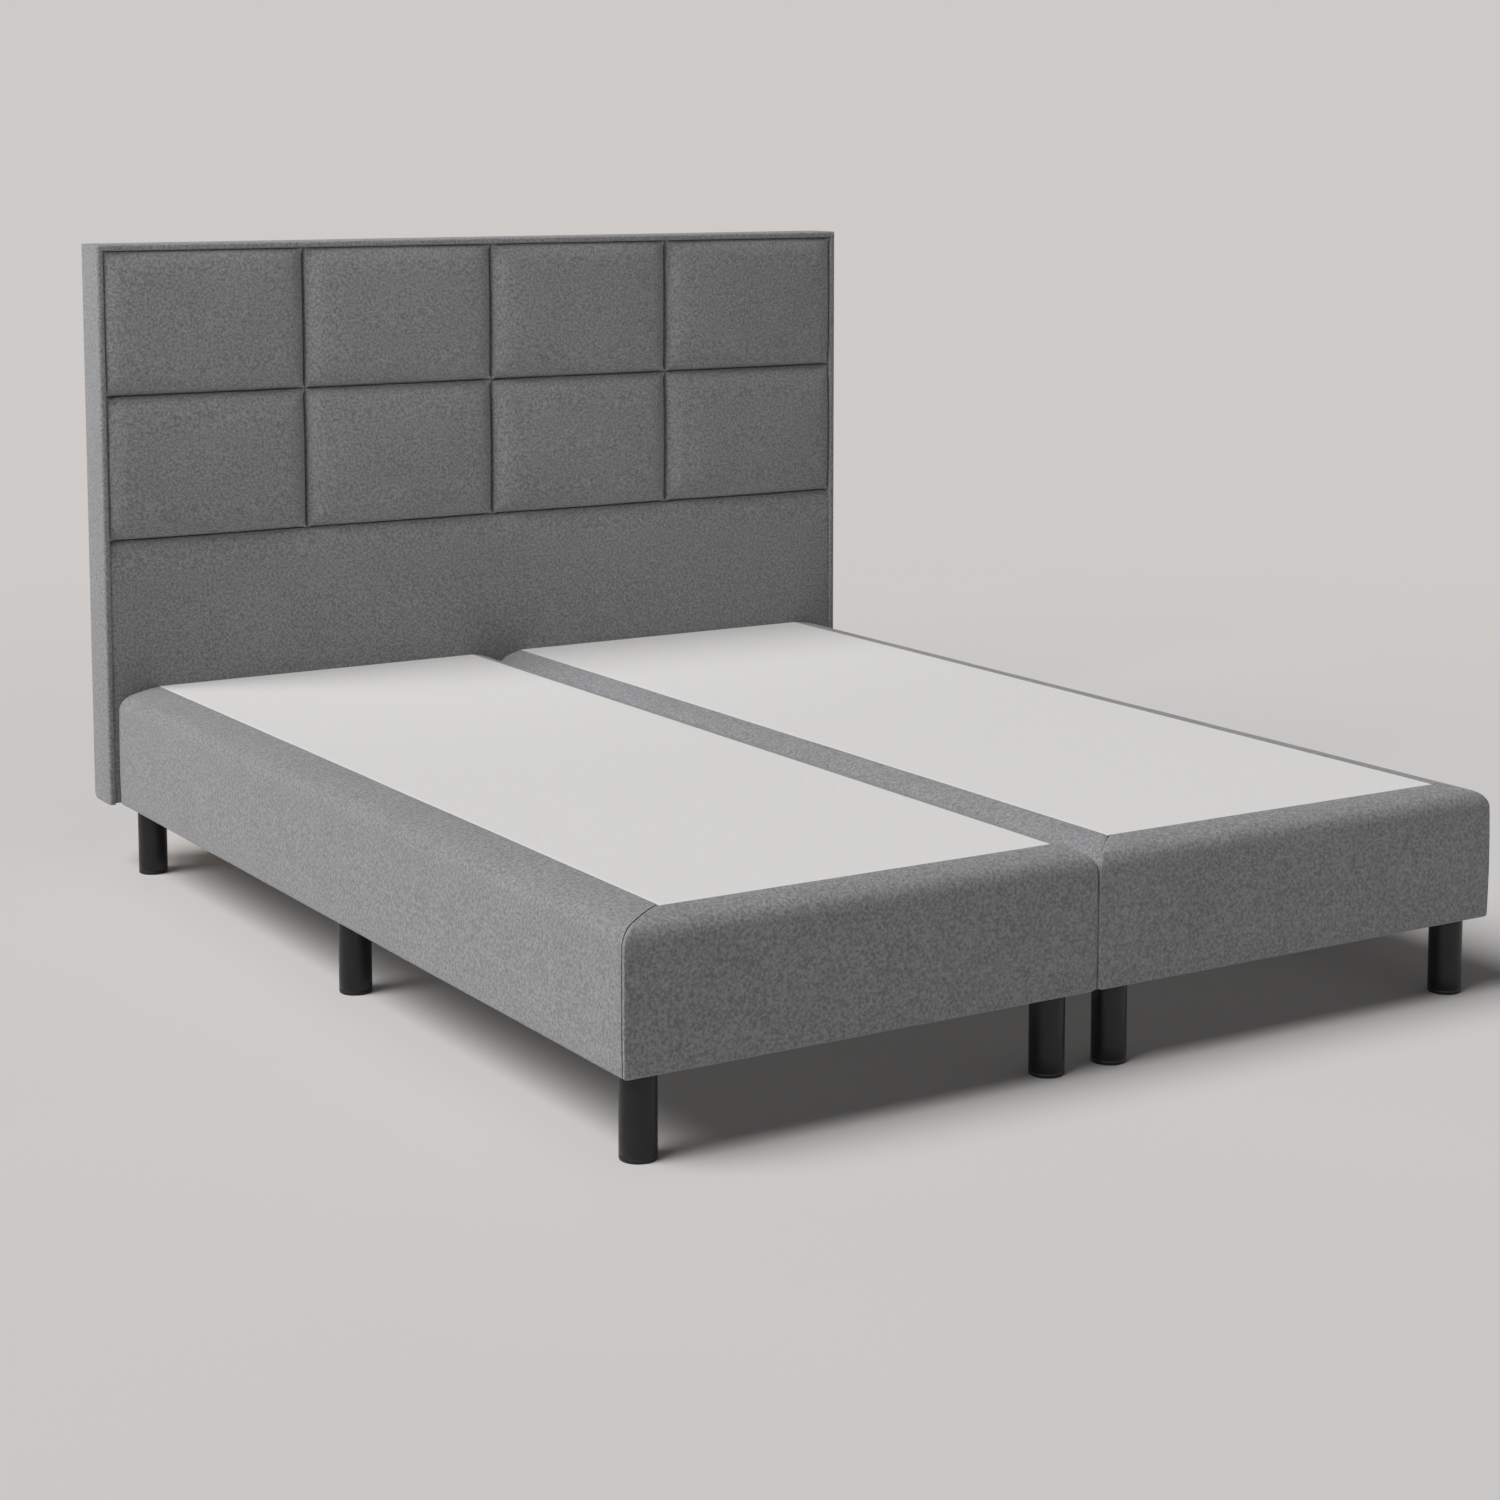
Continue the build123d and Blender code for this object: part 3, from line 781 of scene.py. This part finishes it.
def panel_face(x, z, box, dips, crown):
    """How far the face lies behind the panel's front plane. The dips are left, right, below and above."""
    x0, x1, z0, z1 = box
    gone = 0.0
    for distance, dip, along in zip((x - x0, x1 - x, z - z0, z1 - z), dips, (z, z, x, x)):
        pucker = pucker_height * noise.noise((along * 70, distance * 20, dip * 900))
        drop = dip * (1 - eased(distance)) + (pucker * np.exp(-distance / pucker_reach) if dip > sewn else 0)
        gone = max(gone, drop) + second_share * min(gone, drop)
    corner = min((x - cx) ** 2 + (z - cz) ** 2 for cx in (x0, x1) for cz in (z0, z1))
    gone *= 1 - (bridge_share * np.exp(-corner / bridge_reach**2) if min(dips) > sewn else 0)
    middle = 1 - (2 * (x - x0) / (x1 - x0) - 1) ** 2 * 0.5 - (2 * (z - z0) / (z1 - z0) - 1) ** 2 * 0.5
    return gone + crown * (1 - middle)


def padded_panel(name, box, dips, crown, swell, counts, nodes):
    """A closed pad on the headboard's panel, with its face worked out point by point."""
    x0, x1, z0, z1 = box
    lines = marks(z0, z1, counts[1])
    face = [[(x, head_y - swell + panel_face(x, z, box, dips, crown), z) for z in lines]
            for x in marks(x0, x1, counts[0])]
    back = [[(x, board_y - hair, z) for x, _, z in column] for column in face]
    return handed_over(closed(name, face, back, wool), "frame", *nodes, fill=0.85)


seam_dip, outer_dip, pad_crown, pad_swell = 0.032, 0.018, 0.003, 0.010
for row in ("lower", "upper"):
    for number in range(1, 5):
        low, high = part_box(f"quilt_pad_{row}_{number}")
        box = (low.x + gap, high.x - gap, low.z + gap, high.z - gap)
        dips = (outer_dip if number == 1 else seam_dip, outer_dip if number == 4 else seam_dip, seam_dip,
                outer_dip if row == "upper" else seam_dip)
        padded_panel(f"quilted_{row}_{number}", box, dips, pad_crown, pad_swell, (30, 22),
                     [f"quilt_pad_{row}_{number}"])
field_box = (-half_board, half_board, base_bottom + 0.002, field_top - gap)
field_dips, field_crown = (0.003, 0.003, 0.004, 0.018), 0.0008
padded_panel("plain_field_wool", field_box, field_dips, field_crown, 0, (70, 24), ["headboard_field"])
print("pads", round(high.x - low.x, 3), "by", round(high.z - low.z, 3))

# %% [markdown]
# Round the headboard runs a narrow padded edge. Its section is a strip as deep as the headboard with
# rounded front corners, and it goes up the left side, across the top and down the right side, mitred at the
# corners like a picture frame. At the bottom the back corner is rounded off.

# %% Headboard edges
edge_width, bottom_round = half_headboard - half_board, 0.020


def edge_section():
    """How far in from the outside, and how far back from the front, round the strip."""
    depth, points = back_y - head_y, []
    # Each corner: how far in and back it is, its rounding, and where its arc starts.
    corners = ((0, 0, 0.0050, pi), (edge_width, 0, 0.0028, 1.5 * pi), (edge_width, depth, 0.001, 0),
               (0, depth, 0.003, pi / 2))
    for x, y, r, start in corners:
        cx, cy = (r if x == 0 else x - r), (r if y == 0 else y - r)
        angles = [start + step * pi / 12 for step in range(7)]
        points += [(cx + r * cos(angle), cy + r * sin(angle)) for angle in angles]
    return points


section = edge_section()


def edge_rings(part, sign):
    """Rings along one edge, with the mitre at the top corners and the rounded corner at the bottom."""
    if part == "top":
        places = [0.0, *np.linspace(0.02, 0.98, 50), 1.0]
        for share in places:
            yield [Vector((-half_headboard + inw + share * 2 * (half_headboard - inw), head_y + back,
                           headboard_top - inw)) for inw, back in section]
        return
    rounding = [base_bottom + 0.001 * n for n in (0, 1, 2, 4, 7, 11, 15, 20)]
    for z in [*rounding, *np.linspace(0.2, 1.15, 30)]:
        left = max(0.0, bottom_round - (z - base_bottom))
        cut = bottom_round - sqrt(max(0.0, bottom_round**2 - left**2))
        yield [Vector((sign * (half_headboard - inw), min(head_y + back, back_y - cut), z))
               for inw, back in section]
    yield [Vector((sign * (half_headboard - inw), head_y + back, headboard_top - inw))
           for inw, back in section]


for name, part, sign in (("left", "side", -1), ("right", "side", 1), ("top", "top", 1)):
    edge = skinned(f"headboard_edge_wool_{name}", list(edge_rings(part, sign)), wool)
    handed_over(edge, "frame", f"headboard_edge_{name}")
print("edge", round(edge_width, 3), "wide and", round(back_y - head_y, 3), "deep")

# %% [markdown]
# A turned leg is a profile spun round an axis: a softened foot, a thin ring groove just above it, a long
# straight barrel, a small round at the top, and the bores for the glide and the stud. One profile serves
# all twelve legs, and each is a separate piece like the solid that it stands for.

# %% Legs
leg_radius, groove_radius, leg_end = 0.0275, 0.0271, 0.1298
glide_radius, glide_top, bore_radius, bore_bottom = 0.0232, 0.0031, 0.0042, 0.086
# Distance from the axis, and height: the glide's pocket, the foot, the groove, the barrel, the top, the bore.
profile = [(0, glide_top), (glide_radius, glide_top), (glide_radius, 0.0004),
           (0.0252, 0), (0.0264, 0.0004), (0.0272, 0.0014), (leg_radius, 0.0030),
           (leg_radius, 0.0062), (groove_radius, 0.0066), (groove_radius, 0.0074), (leg_radius, 0.0078),
           (leg_radius, 0.03), (leg_radius, 0.08), (leg_radius, 0.1275),
           (0.0270, 0.1288), (0.0260, leg_end), (bore_radius, leg_end), (bore_radius, bore_bottom),
           (0, bore_bottom)]


def turned(name, x, y, material, count=64):
    """The profile spun round an upright axis, as a closed piece."""
    points, faces = [], []
    for number in range(count):
        angle = 2 * pi * number / count
        points += [(x + r * cos(angle), y + r * sin(angle), z) for r, z in profile[1:-1]]
    long = len(profile) - 2
    points += [(x, y, profile[0][1]), (x, y, profile[-1][1])]
    for i in range(count):
        a, b = i * long, (i + 1) % count * long
        faces += [(a + j, b + j, b + j + 1, a + j + 1) for j in range(long - 1)]
        faces += [(len(points) - 2, b, a), (a + long - 1, b + long - 1, len(points) - 1)]
    return outward(piece_of(name, points, faces, material))


leg_names = [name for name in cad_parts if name.startswith("leg_") and name.count("_") == 3]
for name in leg_names:
    low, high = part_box(name)
    middle = (low + high) / 2
    leg = turned(f"turned_{name}", middle.x, middle.y, satin)
    handed_over(leg, "frame", name, slot="leg_black", fill=None)
print(len(leg_names), "legs", round(high.x - low.x, 4), "across and", round(high.z, 3), "tall")

# %% [markdown]
# The light is soft and comes from the left: the left sides and the tops are bright, the foot end and the
# headboard's face are lit only by what the floor and the tops throw back. One broad sun gives that. Three
# weak lamps help it: a bounce above the tops for what a pale ceiling adds to the headboard, a narrow beam
# from the left that makes the left pads a little lighter than the right ones, and a glow under the bed,
# where a whole pale room would lift the shadow. Far from the bed the floor fades into the plain backdrop
# for the camera alone, so no horizon shows and no extra light falls on the bed.

# %% Floor, backdrop and light
backdrop, sky_strength = (0.617, 0.592, 0.575, 1), 0.10
floor_radius, floor_sides, fade_start, fade_end = 30, 96, 2.2, 5.0


def floor_finish():
    floor = Finish("pale_floor", Roughness=0.9)
    floor.shader.inputs["Specular IOR Level"].default_value = 0.1
    at = floor.place()
    deep, pale = tone(0.675, 0.66, 0.648), tone(0.70, 0.685, 0.672)
    floor.feed("Base Color", floor.mixed(floor.noise(at, 1.3, 1.0), deep, pale))
    length = floor.node("ShaderNodeVectorMath", {"operation": "LENGTH"}, {0: at}, 1)
    far = length.spread(fade_start, fade_end)
    plain = floor.node("ShaderNodeEmission", {}, {"Color": backdrop})
    shaded = Amount(floor, floor.shader.outputs[0])
    mixed = floor.node("ShaderNodeMixShader", {}, {0: far * floor.seen(), 1: shaded, 2: plain})
    floor.plug(floor.tree.nodes["Material Output"].inputs["Surface"], mixed)
    return floor.material


turns = np.linspace(0, 2 * pi, floor_sides + 1)[:-1]
around = [(floor_radius * cos(a), floor_radius * sin(a), 0) for a in turns]
piece_of("floor", around, [tuple(range(floor_sides))], floor_finish())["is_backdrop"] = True

world = bpy.data.worlds.new("studio")
bpy.context.scene.world = world
world.use_nodes = True
sky = Tree(world.node_tree)
soft = sky.node("ShaderNodeBackground", {}, {0: (1, 1, 1, 1), 1: sky_strength})
plain = sky.node("ShaderNodeBackground", {}, {0: backdrop, 1: 1.0})
mixed = sky.node("ShaderNodeMixShader", {}, {0: sky.seen(), 1: soft, 2: plain})
sky.plug(sky.tree.nodes["World Output"].inputs["Surface"], mixed)
bpy.context.scene.view_settings.view_transform = "Standard"


def light(name, kind, place, back, **settings):
    """A lamp at a place. It shines away from back, or straight down where back is None."""
    lamp = bpy.data.objects.new(name, bpy.data.lights.new(name, kind))
    bpy.context.scene.collection.objects.link(lamp)
    lamp.location = place
    if back is not None:
        lamp.rotation_euler = back.to_track_quat("Z", "Y").to_euler()
    for setting, value in settings.items():
        setattr(lamp.data, setting, value)
    return lamp


above, from_left = Vector((-0.8, -0.75, 2.5)), Vector((-3.5, -1.25, 2.9))
under_bed = Vector((0, (foot_y + head_y) / 2, base_bottom - 0.004))
lamps = [light("sun", "SUN", (0, 0, 0), Vector((-0.61, 0.02, 0.79)), energy=2.95, angle=0.70),
         light("bounce", "AREA", above, above - Vector((-0.2, head_y, 0.75)), energy=2.2, size=1.6),
         light("beam", "AREA", from_left, from_left - Vector((-0.1, head_y, 0.95)), energy=1.15, size=0.6,
               spread=0.50),
         light("glow", "AREA", under_bed, None, shape="RECTANGLE", energy=0.8, size=1.5, size_y=1.9)]
lamps[-1].visible_camera = False
print("strengths", {lamp.name: round(lamp.data.energy, 2) for lamp in lamps}, "and sky", sky_strength)

# %% [markdown]
# The last cell prints the frame's box and the dressed bed's box side by side.

# %% Sizes
def plain_box(box):
    return json.loads(json.dumps(box, default=lambda v: [float(n) for n in v]))


{"cad": plain_box(cad_box), "scene": plain_box(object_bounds())}
print(plain_box(cad_box), plain_box(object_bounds()))
